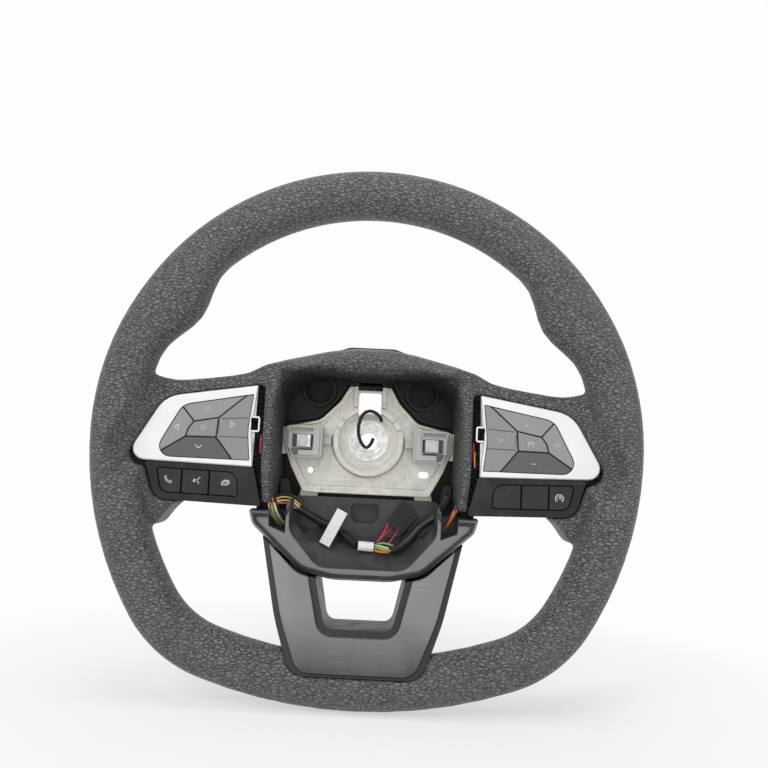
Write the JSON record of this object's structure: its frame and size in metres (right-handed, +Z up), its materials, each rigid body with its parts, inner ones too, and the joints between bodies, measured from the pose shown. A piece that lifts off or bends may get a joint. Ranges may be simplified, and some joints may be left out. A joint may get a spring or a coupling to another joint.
{
  "type": "car steering wheel",
  "caption": "Flat-bottomed car steering wheel with grained rim, cast hub plate, open airbag recess, switch pods and a U-shaped lower spoke.",
  "frame": {"origin": "on the column's axis, at the rear mouth of the column socket", "axes": "+X to the driver's right, +Y away from the driver along the column, +Z up the wheel"},
  "size_m": [0.375, 0.0935, 0.3655],
  "materials": {
    "cast_metal": "as cast, scuffed",
    "steel": "plain",
    "rim_foam": "pebble-grained soft moulding",
    "matte_black": "fine grain",
    "satin_black": "satin",
    "grey_trim": "satin, lightly scratched",
    "satin_silver": "satin plated plastic",
    "key_grey": "soft satin",
    "key_black": "soft satin",
    "circuit_board": "lacquered laminate",
    "silicone": "smooth",
    "clip_grey": "glass-filled nylon",
    "latch_steel": "polished by use",
    "harness_black": "smooth",
    "orange_wire": "smooth",
    "white_wire": "smooth",
    "red_wire": "smooth",
    "green_wire": "smooth",
    "white_paper": "bare printed-free film"
  },
  "bodies": {
    "wheel": {"armature": "cast_metal", "rim_core": "cast_metal", "hub_insert": "steel", "rim_grip": "rim_foam", "lower_rim_grip": "rim_foam", "right_rim_grip": "rim_foam", "left_rim_grip": "rim_foam", "brow_grip": "rim_foam", "right_spoke_grip": "rim_foam", "left_spoke_grip": "rim_foam", "rear_cover": "matte_black", "lower_cover": "satin_black", "cover_screws": "steel", "spoke_trim": "grey_trim", "spoke_trim_base": "satin_black", "spoke_trim_back": "matte_black", "right_bezel": "satin_silver", "left_bezel": "satin_silver", "right_switch_housing": "satin_black", "left_switch_housing": "satin_black", "right_switch_back": "matte_black", "left_switch_back": "matte_black", "right_circuit_board": "circuit_board", "left_circuit_board": "circuit_board", "right_switch_mat": "silicone", "left_switch_mat": "silicone", "switch_screws": "steel", "right_blank_caps": "key_black", "right_airbag_clip": "clip_grey", "left_airbag_clip": "clip_grey", "right_harness_clip": "matte_black", "left_harness_clip": "matte_black", "harness_sleeve": "harness_black", "orange_wires": "orange_wire", "white_wires": "white_wire", "red_wires": "red_wire", "green_wires": "green_wire", "harness_connector": "harness_black", "harness_tag": "white_paper", "sleeve_label": "white_paper", "cable_tie": "harness_black"},
    "right_up_button": {"right_up_button": "key_grey"},
    "right_outer_button": {"right_outer_button": "key_grey"},
    "right_down_button": {"right_down_button": "key_grey"},
    "right_inner_button": {"right_inner_button": "key_grey"},
    "right_middle_button": {"right_middle_button": "key_grey"},
    "left_up_button": {"left_up_button": "key_grey"},
    "left_outer_button": {"left_outer_button": "key_grey"},
    "left_down_button": {"left_down_button": "key_grey"},
    "left_inner_button": {"left_inner_button": "key_grey"},
    "left_middle_button": {"left_middle_button": "key_grey"},
    "left_phone_button": {"left_phone_button": "key_black"},
    "left_voice_button": {"left_voice_button": "key_black"},
    "left_display_button": {"left_display_button": "key_black"},
    "right_limit_button": {"right_limit_button": "key_black"},
    "right_clip_latch": {"right_clip_latch": "latch_steel"},
    "left_clip_latch": {"left_clip_latch": "latch_steel"}
  },
  "joints": [
    {"name": "right_up_button_press", "type": "slide", "parent": "wheel", "child": "right_up_button", "axis": [0.1115, 0.9938, 0], "range_m": [0, 0.001], "stiffness_N_per_m": 3000, "springref_m": -0.0005},
    {"name": "right_outer_button_press", "type": "slide", "parent": "wheel", "child": "right_outer_button", "axis": [0.1115, 0.9938, 0], "range_m": [0, 0.001], "stiffness_N_per_m": 3000, "springref_m": -0.0005},
    {"name": "right_down_button_press", "type": "slide", "parent": "wheel", "child": "right_down_button", "axis": [0.1115, 0.9938, 0], "range_m": [0, 0.001], "stiffness_N_per_m": 3000, "springref_m": -0.0005},
    {"name": "right_inner_button_press", "type": "slide", "parent": "wheel", "child": "right_inner_button", "axis": [0.1115, 0.9938, 0], "range_m": [0, 0.001], "stiffness_N_per_m": 3000, "springref_m": -0.0005},
    {"name": "right_middle_button_press", "type": "slide", "parent": "wheel", "child": "right_middle_button", "axis": [0.1115, 0.9938, 0], "range_m": [0, 0.001], "stiffness_N_per_m": 3000, "springref_m": -0.0005},
    {"name": "left_up_button_press", "type": "slide", "parent": "wheel", "child": "left_up_button", "axis": [-0.1115, 0.9938, 0], "range_m": [0, 0.001], "stiffness_N_per_m": 3000, "springref_m": -0.0005},
    {"name": "left_outer_button_press", "type": "slide", "parent": "wheel", "child": "left_outer_button", "axis": [-0.1115, 0.9938, 0], "range_m": [0, 0.001], "stiffness_N_per_m": 3000, "springref_m": -0.0005},
    {"name": "left_down_button_press", "type": "slide", "parent": "wheel", "child": "left_down_button", "axis": [-0.1115, 0.9938, 0], "range_m": [0, 0.001], "stiffness_N_per_m": 3000, "springref_m": -0.0005},
    {"name": "left_inner_button_press", "type": "slide", "parent": "wheel", "child": "left_inner_button", "axis": [-0.1115, 0.9938, 0], "range_m": [0, 0.001], "stiffness_N_per_m": 3000, "springref_m": -0.0005},
    {"name": "left_middle_button_press", "type": "slide", "parent": "wheel", "child": "left_middle_button", "axis": [-0.1115, 0.9938, 0], "range_m": [0, 0.001], "stiffness_N_per_m": 3000, "springref_m": -0.0005},
    {"name": "left_phone_button_press", "type": "slide", "parent": "wheel", "child": "left_phone_button", "axis": [-0.1115, 0.9938, 0], "range_m": [0, 0.001], "stiffness_N_per_m": 3000, "springref_m": -0.0005},
    {"name": "left_voice_button_press", "type": "slide", "parent": "wheel", "child": "left_voice_button", "axis": [-0.1115, 0.9938, 0], "range_m": [0, 0.001], "stiffness_N_per_m": 3000, "springref_m": -0.0005},
    {"name": "left_display_button_press", "type": "slide", "parent": "wheel", "child": "left_display_button", "axis": [-0.1115, 0.9938, 0], "range_m": [0, 0.001], "stiffness_N_per_m": 3000, "springref_m": -0.0005},
    {"name": "right_limit_button_press", "type": "slide", "parent": "wheel", "child": "right_limit_button", "axis": [0.1115, 0.9938, 0], "range_m": [0, 0.001], "stiffness_N_per_m": 3000, "springref_m": -0.0005},
    {"name": "right_clip_latch_slide", "type": "slide", "parent": "wheel", "child": "right_clip_latch", "axis": [1, 0, 0], "range_m": [0, 0.003], "stiffness_N_per_m": 1500, "springref_m": -0.001},
    {"name": "left_clip_latch_slide", "type": "slide", "parent": "wheel", "child": "left_clip_latch", "axis": [-1, 0, 0], "range_m": [0, 0.003], "stiffness_N_per_m": 1500, "springref_m": -0.001}
  ]
}
